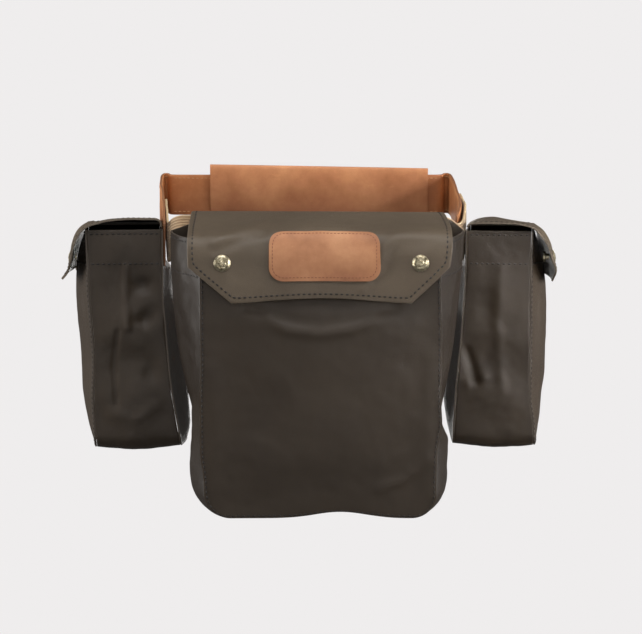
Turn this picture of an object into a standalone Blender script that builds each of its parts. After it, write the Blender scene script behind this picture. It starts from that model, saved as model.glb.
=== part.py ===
"""A hunting game bag worn on a belt: one large game pouch in front and a shell pouch at each side.

The tables are in millimetres and the scene is in metres. -Y is the side of the game pouch, +Z is up,
and +X is to the right for someone who looks at the game pouch. The origin is the middle of the waist.
"""

import math
from collections import namedtuple

import bmesh
import bpy
import numpy as np
from mathutils import Euler, Vector

MM = 0.001
GAP = 0.3  # between pieces that are sewn or riveted together

CANVAS = 1.6  # wall of the coated canvas
LEATHER = 2.2
WEBBING = 2.2
FLAP_WALL = 1.8

STRAP_HEIGHT = 41.0
WEBBING_HEIGHT = 38.0
BELT_MIDDLE_Z = 1.5
BELT_RISE = 0.07  # the belt climbs this much for each unit towards the far run

SNAP_RADIUS = 7.6
SNAP_DOME = 3.4
SNAP_STAND = 1.0  # the flap is a little curved under the cap
SNAP_RIM = 0.5  # height of the rim under the dome
SNAP_RIM_SLOPE = 0.4
SNAP_DOME_STEPS = 5
SNAP_DOME_SHARE = 0.92  # of the quarter turn that would bring the dome to a point
STUD_RADIUS = 5.0
STUD_NECK = 0.6  # of the stud's radius
STUD_HEAD = 0.4  # of the stud's length
STUD_SHOULDER = 0.5
STUD_CLEARANCE = 0.9  # how much nearer the panel's face may come within the stud's rim
STUD_TURNS = 16
SHARP_ANGLE = math.radians(40)

BELLY_POWER = 1.5  # how softly a bulge starts at the seams
FAR_DOWN_POWER = 1.5  # how the droop of a flap's far end grows towards that end
FAR_IN_POWER = 3
CHAMFER_LINES = 4  # the last lines of a flap, whose ends lie on straight chamfers

# How finely the walls are divided.
SIDE_STEPS = 10
CORNER_STEPS = 3
PANEL_COLUMNS = 8
GUSSET_STEPS = 4
FLAP_COLUMNS = 10
LEG_STEPS = 3  # between two points of the belt's route
RUN_STEPS = 240

# A level of a pouch: seams of the front panel, seams of the back panel, how far the front panel
# bellies out in the middle, how far the gusset puffs out at each side, and how far the back panel
# bellies towards the waist.
LEVEL_COLUMNS = "z left right front back_left back_right back belly puff_left puff_right back_belly"
Level = namedtuple("Level", LEVEL_COLUMNS, defaults=(0,))
# A line across a flap, from its root to its lower edge. Its far end, the one away from the game pouch
# or at +X, lies lower by far_down and nearer the pouch by far_in.
Line = namedtuple("Line", "out z left right middle_in middle_up far_down far_in", defaults=(0, 0))
# A flap: its lines, and whether its right end is the one away from the game pouch.
Flap = namedtuple("Flap", "lines far_right")
# A point on the belt, seen from above, and how much lower than the rest the belt lies there.
Route = namedtuple("Route", "x y drop", defaults=(0,))
# How high the back panel's top edge stands above the rim at one place.
Rise = namedtuple("Rise", "x height")
# A pouch: its levels, the radius of its lower corners, the lift of its lower edge and how far its
# bottom sags.
Pouch = namedtuple("Pouch", "levels corner lift_at lift_width lift sag")
# How a pouch hangs on the belt.
Hang = namedtuple("Hang", "corner_x corner_y corner_z near_edge yaw tilt")
# How a piece looks.
Look = namedtuple("Look", "colour roughness metallic")

MAIN = Pouch(
    levels=[
        Level(-1, -104, 115, 174, -135.5, 139.5, 104, -12, 8, 4.5),
        Level(-25, -105, 115, 175, -135.5, 138.5, 104, -8, 6.5, 3.5),
        Level(-50, -105, 115, 175, -134.5, 136.5, 104, -1, 4, 2.5),
        Level(-80, -105, 116, 176, -132.5, 133.5, 104, 7, 2, 1.5),
        Level(-115, -105, 116, 176, -128.5, 129.5, 104, 6, 1, 1),
        Level(-150, -106, 116, 176, -121.5, 123.5, 104, 5, -1, -2),
        Level(-170, -106, 117, 176, -116.5, 119.5, 104, 5, 3, -2),
        Level(-195, -106, 113, 176, -112.5, 116.5, 104, 4, 6.5, 10),
        Level(-225, -103, 112, 175, -110.5, 114.5, 104, 2, 10.5, 10.5),
        Level(-260.5, -102, 113, 174, -108, 113.5, 105, 0, 6.5, 5.5),
    ],
    corner=24,
    lift_at=24,
    lift_width=34,
    lift=6,
    sag=4.5,
)

LEFT = Pouch(
    levels=[
        Level(-2, -58, 58, 73.5, -58, 58, 0, 0, 0, 0, 0),
        Level(-30, -59, 59, 72.5, -59, 59, 0, 9, 0, 1, -2.2),
        Level(-60, -60, 60, 71.5, -60, 60, 0, 12, 1, -2, 10),
        Level(-95, -60, 60, 69, -60, 60, -2, 12.5, 1, 3, 17),
        Level(-125, -60, 60, 67.5, -60, 60, -4, 12, 0, -2, 16),
        Level(-160, -60, 60, 68.5, -60, 60, -8, 10, 1, 2, 15),
        Level(-190, -59, 59, 67.5, -58, 58, -13, 5, 2, 2, 12),
        Level(-209, -58, 58, 66.5, -57, 57, -16, 1, 1, 0, 6),
    ],
    corner=12,
    lift_at=0,
    lift_width=40,
    lift=1,
    sag=3,
)

RIGHT = Pouch(
    levels=[
        Level(-3, -58, 58, 64, -58, 58, 0, 0, 0, 0, 0),
        Level(-30, -59, 59, 63, -59, 59, 0, 9, 1, 0, -0.8),
        Level(-60, -60, 60, 63, -60, 60, -1, 13, 2, 0, 9),
        Level(-95, -60, 60, 63.5, -60, 60, -3, 14, 2, 1, 12),
        Level(-130, -60, 60, 63.5, -60, 60, -6, 13, -2, 0, 13),
        Level(-160, -60, 60, 63.5, -60, 60, -8, 10, 3, 1, 13),
        Level(-185, -59, 59, 67, -59, 59, -9.5, 5, 1, 1, 9),
        Level(-207, -58, 58, 68, -57, 57, -10.5, 1, 0, 0, 3),
    ],
    corner=12,
    lift_at=0,
    lift_width=40,
    lift=1,
    sag=3,
)

LEFT_HANG = Hang(-143.5, -88, 0, 59, math.radians(-85.5), math.radians(-5))
RIGHT_HANG = Hang(141.8, -88, 0, -59, math.radians(85), math.radians(5))

# The game pouch's back panel stands up in front of the webbing, under the flap's fold.
BACK_RISES = [
    Rise(-135.5, 0),
    Rise(-117, 6.5),
    Rise(-100, 9),
    Rise(100, 12.5),
    Rise(118, 13.5),
    Rise(128, 9.5),
    Rise(139.5, 0),
]
RISE_DEPTH = 24  # below the rim, where the rise has faded out

MAIN_FLAP_LINES = [
    Line(103.6 - FLAP_WALL, -46, -108, 112, 0, 0),
    Line(103.4 - FLAP_WALL, -33, -108, 112, 0, 0),
    Line(98.4, -26, -108, 112, 0, 0),
    Line(98.2, -8, -109, 113, 0, 0),
    Line(98.2, 11, -111, 115, 0, 0),
    Line(99.6, 15.8, -114, 117.5, 0, 0, 0.6),
    Line(104, 17.4, -115, 120, 0, 0, 1.2),
    Line(112, 17.2, -115.5, 121, 0, 0, 1.4),
    Line(130, 14.2, -115.5, 123, 2, 0, 0.8),
    Line(150, 10.2, -116, 124.5, 5, 0.5),
    Line(167, 6, -116, 125, 9, 1),
    Line(177, 1.5, -116, 125, 12, 1),
    Line(182, -6, -116, 124.8, 11.5, 0),
    Line(184, -15, -115.8, 124, 9.5, 0),
    Line(184.5, -24, -115.5, 122.5, 7.5, 0),
    Line(185, -35, -102.3, 111.3, 5.5, 1),
    Line(185.5, -46, -89, 99.8, 3.5, 2.5),
    Line(186, -57, -76, 88, 2, 4.5),
]

LEFT_FLAP_LINES = [
    Line(0.8, 0.4, -60, 60, 0, 0),
    Line(1.5, 5.2, -61, 61, 0, 0, 3.4),
    Line(8, 8.8, -62, 62, 0, 0, 7),
    Line(30, 9, -62, 62, 0, 0, 7.4),
    Line(50, 7.8, -62, 62, 0, 0, 6.2),
    Line(62, 5.2, -62, 62, 0, 0, 4),
    Line(71, 2.6, -62, 62, -1, 0.5, 0.8),
    Line(78, -2.5, -62, 62, -2, 0, 0, 0.7),
    Line(83, -10, -62, 62, -2, 0, 0, 5.2),
    Line(86.5, -20, -62, 62, -1.5, 0, -1, 9.4),
    Line(88.5, -31, -60, 60, 0, 0, -3, 12),
    Line(91.1, -41, -46, 46, 0.5, 0, -5, 11),
    Line(96.8, -49, -33, 33, 2, 0, -7.5, 12.5),
]

RIGHT_FLAP_LINES = [
    Line(0.8, 0.4, -60, 60, 0, 0),
    Line(2.5, 3.2, -61, 61, 0, 0, 2.2),
    Line(10, 4.8, -62, 62, 0, 3, 4.6),
    Line(24, 5, -62, 62, 0, 5, 5),
    Line(44, 4.8, -62, 62, 0, 2, 4.8),
    Line(57, 3.2, -62, 62, 0, 0.5, 3.2),
    Line(65.5, 0.2, -62, 62, -1, 0, 1, 0.5),
    Line(73.5, -8, -62, 62, -3, 0, 0, 5.2),
    Line(79.5, -18, -62, 62, -2.5, 0, 0, 11),
    Line(83, -30, -61, 61, -1, 0, 0, 14),
    Line(86.5, -41, -46, 46, 0, 0, -2, 13.5),
    Line(83, -52, -32, 32, 0, 0, -4, 9.5),
]

MAIN_FLAP = Flap(MAIN_FLAP_LINES, far_right=True)
LEFT_FLAP = Flap(LEFT_FLAP_LINES, far_right=False)
RIGHT_FLAP = Flap(RIGHT_FLAP_LINES, far_right=True)

# At both far corners the strap swings out behind the far run before it turns forward.
STRAP_ROUTE = [
    Route(-142.8, -80, 14),
    Route(-145.0, -50, 4),
    Route(-147.3, -20),
    Route(-149.2, 5),
    Route(-151.3, 27),
    Route(-154.4, 54),
    Route(-155.4, 80),
    Route(-155.8, 95),
    Route(-155.2, 105),
    Route(-152.8, 110.6),
    Route(-150.0, 109.6),
    Route(-148.6, 105.6),
    Route(-146.0, 102.6),
    Route(-138.0, 101.6),
    Route(-118, 101.3),
    Route(-60, 101.8),
    Route(0, 102),
    Route(60, 101.8),
    Route(112, 101.2),
    Route(121.5, 101.3),
    Route(127.0, 102.4),
    Route(129.6, 105.4),
    Route(130.8, 109.4),
    Route(133.6, 110.8),
    Route(136.4, 106),
    Route(137.6, 96),
    Route(138.2, 82),
    Route(138.6, 60),
    Route(139.0, 35),
    Route(139.2, 10),
    Route(139.4, -15),
    Route(139.2, -40),
    Route(137.6, -62, 2),
    Route(133.5, -80, 7),
]

WEBBING_ROUTE = [
    Route(-144.4, -20),
    Route(-142.1, -50, 4),
    Route(-139.2, -76, 12),
    Route(-133, -91, 9),
    Route(-124, -99.5, 2),
    Route(-112, -102.3),
    Route(0, -102.4),
    Route(115, -102.3),
    Route(127, -99.5, 4),
    Route(135, -92, 10),
    Route(139.6, -80, 9),
    Route(142.3, -62, 3),
    Route(143.8, -45),
    Route(142.4, -15),
    Route(141.8, 8),
]

SLEEVE_LEFT = -107
SLEEVE_RIGHT = 114
SLEEVE_HALF_HEIGHT = 29
SLEEVE_HALF_DEPTH = 3.7
SLEEVE_WALL = 2.0
SLEEVE_DROP = 0.018  # the sleeve hangs lower towards +X
SLEEVE_SQUARENESS = 5
FAR_RUN_Y = 95  # the far run of the strap lies beyond this
FAR_RUN_HALF_WIDTH = 120

PATCH_LEFT = -42
PATCH_RIGHT = 59.4
PATCH_TOP_LINE = 10.5  # places along the main flap, counted in its lines
PATCH_BOTTOM_LINE = 15.35
PATCH_CORNER = 0.42
PATCH_SQUARENESS = 5
PATCH_ROUNDING = 0.22
PATCH_WALL = 1.4
PATCH_STAND = 0.65  # the flap is a little curved under the patch

MAIN_SNAPS = (-84.3, 96.0)
MAIN_SNAP_Z = -20.5
SIDE_SNAP_Z = -30.0

CANVAS_LOOK = Look((0.055, 0.047, 0.038, 1), 0.5, 0)
FLAP_LOOK = Look((0.095, 0.083, 0.068, 1), 0.45, 0)
LEATHER_LOOK = Look((0.28, 0.115, 0.05, 1), 0.5, 0)
WEBBING_LOOK = Look((0.5, 0.36, 0.2, 1), 0.85, 0)
METAL_LOOK = Look((0.42, 0.36, 0.25, 1), 0.35, 1)


def finish(name, look):
    material = bpy.data.materials.new(name)
    material.use_nodes = True
    shader = material.node_tree.nodes["Principled BSDF"]
    shader.inputs["Base Color"].default_value = look.colour
    shader.inputs["Roughness"].default_value = look.roughness
    shader.inputs["Metallic"].default_value = look.metallic
    return material


def canvas(name):
    return finish(name + "_canvas", CANVAS_LOOK)


def level_slopes(places, values):
    """A slope at each place that never lets the curve run past its own values."""
    steps = np.diff(values) / np.diff(places)
    slopes = np.zeros(len(values))
    slopes[0], slopes[-1] = steps[0], steps[-1]
    for k in range(1, len(values) - 1):
        before, after = steps[k - 1], steps[k]
        if before * after > 0:
            slopes[k] = 2 * before * after / (before + after)
    return slopes


def smooth_value(at, places, values):
    """A smooth curve through the values, read at one place."""
    places = np.asarray(places, float)
    values = np.asarray(values, float)
    if places[0] > places[-1]:
        places, values = places[::-1], values[::-1]
    at = min(max(at, places[0]), places[-1])
    slopes = level_slopes(places, values)
    low = int(min(max(np.searchsorted(places, at) - 1, 0), len(places) - 2))
    span = places[low + 1] - places[low]
    t = (at - places[low]) / span
    start = (1 + 2 * t) * (1 - t) ** 2 * values[low] + t * (1 - t) ** 2 * span * slopes[low]
    end = t * t * (3 - 2 * t) * values[low + 1] + t * t * (t - 1) * span * slopes[low + 1]
    return float(start + end)


def level_value(levels, column, z):
    return smooth_value(z, [row.z for row in levels], [getattr(row, column) for row in levels])


def belly_shape(across):
    """0 at both seams and 1 in the middle, level where it meets the seams."""
    return max(math.sin(math.pi * across), 0) ** BELLY_POWER


def add_object(name, mesh, material, parent=None):
    thing = bpy.data.objects.new(name, mesh)
    thing.data.materials.append(material)
    bpy.context.scene.collection.objects.link(thing)
    thing.parent = parent
    return thing


def sheet(name, rows, wall, material, parent=None, closed=False, side=-1):
    """A wall over a grid of points in millimetres; its thickness goes behind the face, or centred."""
    mesh = bpy.data.meshes.new(name)
    net = bmesh.new()
    grid = [[net.verts.new(Vector(point) * MM) for point in row] for row in rows]
    width = len(rows[0])
    last = width if closed else width - 1
    for upper, lower in zip(grid, grid[1:]):
        for k in range(last):
            after = (k + 1) % width
            net.faces.new((upper[k], lower[k], lower[after], upper[after]))
    net.to_mesh(mesh)
    net.free()
    mesh.shade_smooth()
    thing = add_object(name, mesh, material, parent)
    thickness = thing.modifiers.new("wall", "SOLIDIFY")
    thickness.thickness = wall * MM
    thickness.offset = side
    thickness.use_even_offset = True
    return thing


def pouch_levels(pouch):
    """The heights of the rows down a pouch, with how far round the lower corner each has gone."""
    top = pouch.levels[0].z
    low = pouch.levels[-1].z + pouch.corner
    rows = [(top + (low - top) * k / SIDE_STEPS, 0.0) for k in range(SIDE_STEPS + 1)]
    for k in range(1, CORNER_STEPS + 1):
        turn = math.pi / 2 * k / CORNER_STEPS
        rows.append((low - pouch.corner * math.sin(turn), turn))
    return rows


def back_rise(across, z):
    """The back panel stands above the rim in the middle, and only near its top edge."""
    rise = float(np.interp(across, [place.x for place in BACK_RISES], [place.height for place in BACK_RISES]))
    return rise * max(1 - (MAIN.levels[0].z - z) / RISE_DEPTH, 0)


def edge_lift(pouch, across, turn):
    """The lower edge rises a little near one place, and only near the edge."""
    bump = math.exp(-(((across - pouch.lift_at) / pouch.lift_width) ** 2))
    return pouch.lift * bump * math.sin(turn) ** 2


def panel_rows(pouch, face):
    """The grid of the front or the back panel, from the rim down, in the pouch's own axes."""
    front = face == "front"
    names = ("left", "right", "front") if front else ("back_left", "back_right", "back")
    rows = []
    for z, turn in pouch_levels(pouch):
        inset = pouch.corner * (1 - math.cos(turn))
        left, right, out = (level_value(pouch.levels, column, z) for column in names)
        belly = level_value(pouch.levels, "belly" if front else "back_belly", z)
        belly = belly if front else -belly  # the back panel's goes towards the waist
        row = []
        for k in range(PANEL_COLUMNS + 1):
            part = k / PANEL_COLUMNS
            across = (left + inset) * (1 - part) + (right - inset) * part
            height = z + edge_lift(pouch, across, turn)
            if pouch is MAIN and not front:
                height += back_rise(across, z)
            row.append((across, -(out + belly * belly_shape(part)), height))
        rows.append(row)
    return rows


def rim_path(rows):
    """The edge of a panel from the left end of its rim, down, along the bottom and up again."""
    left = [row[0] for row in rows]
    bottom = rows[-1][1:-1]
    right = [row[-1] for row in reversed(rows)]
    return left + bottom + right


def gusset_rows(pouch):
    """The strip between the two panels, row by row from the front seam to the back seam.

    Where the strip slants, its inner edge leans towards one panel, and the strip ends that much sooner.
    """
    front = rim_path(panel_rows(pouch, "front"))
    back = rim_path(panel_rows(pouch, "back"))
    turns = [turn for _, turn in pouch_levels(pouch)]
    flat = len(front) - 2 * len(turns)
    turns = turns + [math.pi / 2] * flat + turns[::-1]
    behind = CANVAS + GAP
    rows = []
    for step in range(GUSSET_STEPS + 1):
        part = step / GUSSET_STEPS
        swell = math.sin(math.pi * part)
        row = []
        for k, (near, far, turn) in enumerate(zip(front, back, turns)):
            hand = -1 if k < len(front) / 2 else 1
            column = "puff_left" if hand < 0 else "puff_right"
            puff = level_value(pouch.levels, column, near[2])
            out = puff * math.cos(turn) ** 2 + pouch.sag * math.sin(turn) ** 2
            depth = far[1] - near[1]
            spread = hand * (far[0] - near[0]) * math.cos(turn) + (near[2] - far[2]) * math.sin(turn)
            lean_front = CANVAS * max(-(spread + math.pi * out) / depth, 0)
            lean_back = CANVAS * max((spread - math.pi * out) / depth, 0)
            x = near[0] * (1 - part) + far[0] * part + hand * out * swell * math.cos(turn)
            y = (near[1] + behind + lean_front) * (1 - part) + (far[1] - behind - lean_back) * part
            z = near[2] * (1 - part) + far[2] * part - out * swell * math.sin(turn)
            row.append((x, y, z))
        rows.append(row)
    return rows


def hang_frame(name, hang):
    """An empty that carries a side pouch: its near rear corner sits where it meets the belt."""
    carrier = bpy.data.objects.new(name, None)
    bpy.context.scene.collection.objects.link(carrier)
    turn = Euler((0, hang.tilt, hang.yaw))
    corner = Vector((hang.corner_x, hang.corner_y, hang.corner_z))
    carrier.rotation_euler = turn
    carrier.location = (corner - turn.to_matrix() @ Vector((hang.near_edge, 0, 0))) * MM
    return carrier


def build_pouch(prefix, pouch, carrier=None):
    front = panel_rows(pouch, "front")
    back = [row[::-1] for row in panel_rows(pouch, "back")]
    sheet(prefix + "_front_panel", front, CANVAS, canvas(prefix + "_front"), carrier)
    sheet(prefix + "_back_panel", back, CANVAS, canvas(prefix + "_back"), carrier)
    sheet(prefix + "_gusset", gusset_rows(pouch), CANVAS, canvas(prefix + "_gusset"), carrier)


def flap_point(flap, along, part):
    """A point of a flap's outer face: along counts its lines, part goes from its left edge to its right."""
    lines = flap.lines
    places = range(len(lines))
    out, z, left, right, inward, up, down, far_in = (
        smooth_value(along, places, [getattr(line, column) for line in lines]) for column in Line._fields
    )
    if along > len(lines) - CHAMFER_LINES:
        left = float(np.interp(along, places, [line.left for line in lines]))
        right = float(np.interp(along, places, [line.right for line in lines]))
    middle = belly_shape(part)
    far = part if flap.far_right else 1 - part
    out -= inward * middle + far_in * far**FAR_IN_POWER
    height = z + up * middle - down * far**FAR_DOWN_POWER
    return (left * (1 - part) + right * part, -out, height)


def flap_rows(flap):
    parts = [c / FLAP_COLUMNS for c in range(FLAP_COLUMNS + 1)]
    return [[flap_point(flap, along, part) for part in parts] for along in range(len(flap.lines))]


def build_flap(name, flap, carrier=None):
    material = finish(name + "_canvas", FLAP_LOOK)
    sheet(name, flap_rows(flap), FLAP_WALL, material, carrier)


def flap_face(flap, along, x):
    """The point of a flap's outer face at x on one line, and which way the face looks there."""
    left = flap_point(flap, along, 0)[0]
    right = flap_point(flap, along, 1)[0]
    part = (x - left) / (right - left)
    step = 0.02
    point = Vector(flap_point(flap, along, part))
    across = Vector(flap_point(flap, along, part + step)) - point
    down = Vector(flap_point(flap, along + step, part)) - point
    return point, down.cross(across).normalized()


def flap_place(flap, x, z):
    """The point of a flap's hanging leaf at x and z, and which way the face looks there."""
    top = max(range(len(flap.lines)), key=lambda k: flap.lines[k].z)
    leaf = flap.lines[top:]
    along = top + float(np.interp(-z, [-line.z for line in leaf], range(len(leaf))))
    return flap_face(flap, along, x)


def panel_depth(pouch, x, z):
    """How far out the front panel's face is at x and z."""
    left = level_value(pouch.levels, "left", z)
    right = level_value(pouch.levels, "right", z)
    belly = level_value(pouch.levels, "belly", z)
    return level_value(pouch.levels, "front", z) + belly * belly_shape((x - left) / (right - left))


def turned(name, profile, place, outward, material, carrier=None):
    """A turned piece: profile pairs are radius and height along the outward direction."""
    mesh = bpy.data.meshes.new(name)
    net = bmesh.new()
    rings = []
    for radius, height in profile:
        ring = []
        for k in range(STUD_TURNS):
            angle = 2 * math.pi * k / STUD_TURNS
            ring.append(net.verts.new(Vector((radius * math.cos(angle), radius * math.sin(angle), height)) * MM))
        rings.append(ring)
    for lower, upper in zip(rings, rings[1:]):
        for k in range(STUD_TURNS):
            after = (k + 1) % STUD_TURNS
            net.faces.new((lower[k], lower[after], upper[after], upper[k]))
    net.faces.new(rings[0][::-1])
    net.faces.new(rings[-1])
    net.to_mesh(mesh)
    net.free()
    mesh.shade_smooth()
    mesh.set_sharp_from_angle(angle=SHARP_ANGLE)
    thing = add_object(name, mesh, material, carrier)
    thing.rotation_mode = "QUATERNION"
    thing.rotation_quaternion = Vector((0, 0, 1)).rotation_difference(outward)
    thing.location = place * MM
    return thing


def build_snap(cap_name, stud_name, flap, pouch, x, z, carrier=None):
    """A domed cap on the flap, and the plain stud behind it on the front panel."""
    metal = finish(cap_name + "_metal", METAL_LOOK)
    point, outward = flap_place(flap, x, z)
    dome = [(SNAP_RADIUS - SNAP_RIM_SLOPE, 0.0), (SNAP_RADIUS, SNAP_RIM)]
    for k in range(1, SNAP_DOME_STEPS + 1):
        angle = math.pi / 2 * SNAP_DOME_SHARE * k / SNAP_DOME_STEPS
        height = SNAP_RIM + (SNAP_DOME - SNAP_RIM) * math.sin(angle)
        dome.append((SNAP_RADIUS * math.cos(angle), height))
    turned(cap_name, dome, point + outward * SNAP_STAND, outward, metal, carrier)
    foot = panel_depth(pouch, x, z) + GAP + STUD_CLEARANCE
    start = Vector((x, -foot, z))
    length = -point.y - FLAP_WALL - GAP - STUD_CLEARANCE - foot
    neck = STUD_RADIUS * STUD_NECK
    stud = [(STUD_RADIUS, 0), (STUD_RADIUS, length * STUD_HEAD), (neck, length * STUD_SHOULDER), (neck, length)]
    turned(stud_name, stud, start, Vector((0, -1, 0)), metal, carrier)


def build_patch():
    """The leather patch follows the flap's face and lies on it."""
    columns = 12
    lines = 8
    middle = (PATCH_TOP_LINE + PATCH_BOTTOM_LINE) / 2
    half = (PATCH_BOTTOM_LINE - PATCH_TOP_LINE) / 2
    rows = []
    for k in range(lines + 1):
        reach = -math.cos(math.pi * k / lines)
        along = middle + half * reach
        roundness = 1 - (1 - abs(reach) ** PATCH_SQUARENESS) ** PATCH_ROUNDING
        inset = (PATCH_RIGHT - PATCH_LEFT) / 2 * roundness * PATCH_CORNER
        row = []
        for c in range(columns + 1):
            x = (PATCH_LEFT + inset) * (1 - c / columns) + (PATCH_RIGHT - inset) * c / columns
            point, outward = flap_face(MAIN_FLAP, along, x)
            row.append(point + outward * (PATCH_WALL + PATCH_STAND))
        rows.append(row)
    sheet("flap_patch", rows, PATCH_WALL, finish("patch_leather", LEATHER_LOOK))


def route_points(route, wanted):
    """Points of a smooth curve through the route, with how low the belt lies at each.

    wanted gives the places from the lengths at which the route's own points lie.
    """
    xs = np.array([p.x for p in route])
    ys = np.array([p.y for p in route])
    drops = np.array([p.drop for p in route])
    lengths = np.concatenate([[0], np.cumsum(np.hypot(np.diff(xs), np.diff(ys)))])
    return [tuple(smooth_value(s, lengths, values) for values in (xs, ys, drops)) for s in wanted(lengths)]


def every_leg(lengths):
    legs = [np.linspace(a, b, LEG_STEPS, endpoint=False) for a, b in zip(lengths, lengths[1:])]
    return np.concatenate(legs + [lengths[-1:]])


def even_steps(lengths):
    return np.linspace(0, lengths[-1], RUN_STEPS)


def belt_middle(y):
    return BELT_MIDDLE_Z + BELT_RISE * y


def band(name, route, height, wall, material):
    rows = []
    for x, y, drop in route_points(route, every_leg):
        middle = belt_middle(y) - drop
        rows.append([(x, y, middle + height / 2), (x, y, middle - height / 2)])
    sheet(name, rows, wall, material, side=0)


def build_sleeve():
    """A flat leather tube round the far run of the strap."""
    columns = 8
    around = 20
    power = 2 / SLEEVE_SQUARENESS
    strap = route_points(STRAP_ROUTE, even_steps)
    far_run = sorted(p for p in strap if p[1] > FAR_RUN_Y and abs(p[0]) < FAR_RUN_HALF_WIDTH)
    rows = []
    for k in range(columns + 1):
        x = SLEEVE_LEFT + (SLEEVE_RIGHT - SLEEVE_LEFT) * k / columns
        y = float(np.interp(x, [p[0] for p in far_run], [p[1] for p in far_run]))
        middle = belt_middle(y) - SLEEVE_DROP * x
        ring = []
        for a in range(around):
            angle = 2 * math.pi * a / around
            cos, sin = math.cos(angle), math.sin(angle)
            out = SLEEVE_HALF_DEPTH * math.copysign(abs(cos) ** power, cos)
            up = SLEEVE_HALF_HEIGHT * math.copysign(abs(sin) ** power, sin)
            ring.append((x, y + out, middle + up))
        rows.append(ring[::-1])
    sheet("belt_sleeve", rows, SLEEVE_WALL, finish("sleeve_leather", LEATHER_LOOK), closed=True)


def build_belt():
    strap = finish("strap_leather", LEATHER_LOOK)
    cotton = finish("webbing_cotton", WEBBING_LOOK)
    band("belt_strap", STRAP_ROUTE, STRAP_HEIGHT, LEATHER, strap)
    band("belt_webbing", WEBBING_ROUTE, WEBBING_HEIGHT, WEBBING, cotton)
    build_sleeve()


def build_main_pouch():
    build_pouch("main", MAIN)
    build_flap("main_flap", MAIN_FLAP)
    build_patch()
    for side, x in zip(("left", "right"), MAIN_SNAPS):
        build_snap("snap_cap_" + side, "snap_stud_" + side, MAIN_FLAP, MAIN, x, MAIN_SNAP_Z)


def build_side_pouch(side, pouch, flap, hang):
    carrier = hang_frame(side + "_hang", hang)
    build_pouch(side, pouch, carrier)
    build_flap(side + "_flap", flap, carrier)
    build_snap(side + "_pouch_cap", side + "_pouch_stud", flap, pouch, 0.0, SIDE_SNAP_Z, carrier)


def build_bag():
    for thing in list(bpy.data.objects):
        bpy.data.objects.remove(thing)
    build_main_pouch()
    build_side_pouch("left", LEFT, LEFT_FLAP, LEFT_HANG)
    build_side_pouch("right", RIGHT, RIGHT_FLAP, RIGHT_HANG)
    build_belt()


build_bag()
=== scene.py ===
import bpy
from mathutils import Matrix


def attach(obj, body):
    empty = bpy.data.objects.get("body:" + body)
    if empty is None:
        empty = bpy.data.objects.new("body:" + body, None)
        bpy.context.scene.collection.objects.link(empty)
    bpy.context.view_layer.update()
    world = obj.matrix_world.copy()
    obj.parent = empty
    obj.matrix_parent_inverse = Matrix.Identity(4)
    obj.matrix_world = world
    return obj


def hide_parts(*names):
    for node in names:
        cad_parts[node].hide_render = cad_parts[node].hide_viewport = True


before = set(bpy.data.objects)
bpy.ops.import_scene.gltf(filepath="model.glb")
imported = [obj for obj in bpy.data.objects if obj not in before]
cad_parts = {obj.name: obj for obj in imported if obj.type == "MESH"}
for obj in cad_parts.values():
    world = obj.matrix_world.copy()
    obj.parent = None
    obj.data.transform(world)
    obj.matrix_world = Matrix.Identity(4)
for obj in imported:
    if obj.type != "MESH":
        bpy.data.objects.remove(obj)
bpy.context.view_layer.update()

import math
import bmesh
import bpy
import numpy as np
from mathutils import Euler, Matrix, Vector, noise

mm = 0.001
scene = bpy.context.scene
scene.view_settings.view_transform = "Standard"


# numbers along curves

def smoothCurve(at, places, values):
    # a smooth curve through the values that never runs past them
    places = np.asarray(places, float)
    values = np.asarray(values, float)
    if places[0] > places[-1]:
        places, values = places[::-1], values[::-1]
    at = np.clip(np.asarray(at, float), places[0], places[-1])
    steps = np.diff(values) / np.diff(places)
    before, after = steps[:-1], steps[1:]
    sameWay = before * after > 0
    slopes = np.zeros(len(values))
    slopes[0], slopes[-1] = steps[0], steps[-1]
    slopes[1:-1] = np.where(sameWay, 2 * before * after / np.where(sameWay, before + after, 1), 0)
    low = np.clip(np.searchsorted(places, at) - 1, 0, len(places) - 2)
    span = places[low + 1] - places[low]
    t = (at - places[low]) / span
    start = (1 + 2 * t) * (1 - t) ** 2 * values[low] + t * (1 - t) ** 2 * span * slopes[low]
    end = t * t * (3 - 2 * t) * values[low + 1] + t * t * (t - 1) * span * slopes[low + 1]
    return start + end


bellyPower = 1.5  # more keeps a belly further from its seams


def bellyShape(across):
    return np.clip(np.sin(np.pi * across), 0, None) ** bellyPower


def outward(surface):
    down = np.gradient(surface, axis=0)
    across = np.gradient(surface, axis=1)
    normals = np.cross(down, across)
    return normals / np.maximum(np.linalg.norm(normals, axis=2, keepdims=True), 1e-9)


def rumple(surface, height, size, seed):
    # soft unevenness that no cloth is without
    offset = Vector((seed * 7.31, seed * 3.17, seed * 5.53))
    flat = surface.reshape(-1, 3)
    values = [noise.fractal(Vector(point) / size + offset, 0.9, 2.1, 3) for point in flat]
    return height * np.array(values).reshape(surface.shape[:2])


def marked(a, b, marks):
    # dents and ridges: each is a soft oval, or a soft line through several points
    total = np.zeros(a.shape)
    for mark in marks:
        if "line" in mark:
            total += mark["height"] * np.exp(-(lineDistance(a, b, mark["line"]) / mark["width"]) ** 2)
            continue
        turn = math.radians(mark.get("turn", 0))
        da, db = a - mark["at"][0], b - mark["at"][1]
        along = (da * math.cos(turn) + db * math.sin(turn)) / mark["size"][0]
        beside = (db * math.cos(turn) - da * math.sin(turn)) / mark["size"][1]
        total += mark["height"] * np.exp(-(along**2 + beside**2))
    return total


def lineDistance(a, b, line):
    best = np.full(a.shape, 1e9)
    for (a0, b0), (a1, b1) in zip(line, line[1:]):
        da, db = a1 - a0, b1 - b0
        t = np.clip(((a - a0) * da + (b - b0) * db) / (da * da + db * db), 0, 1)
        best = np.minimum(best, np.hypot(a - a0 - t * da, b - b0 - t * db))
    return best


# materials

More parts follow.
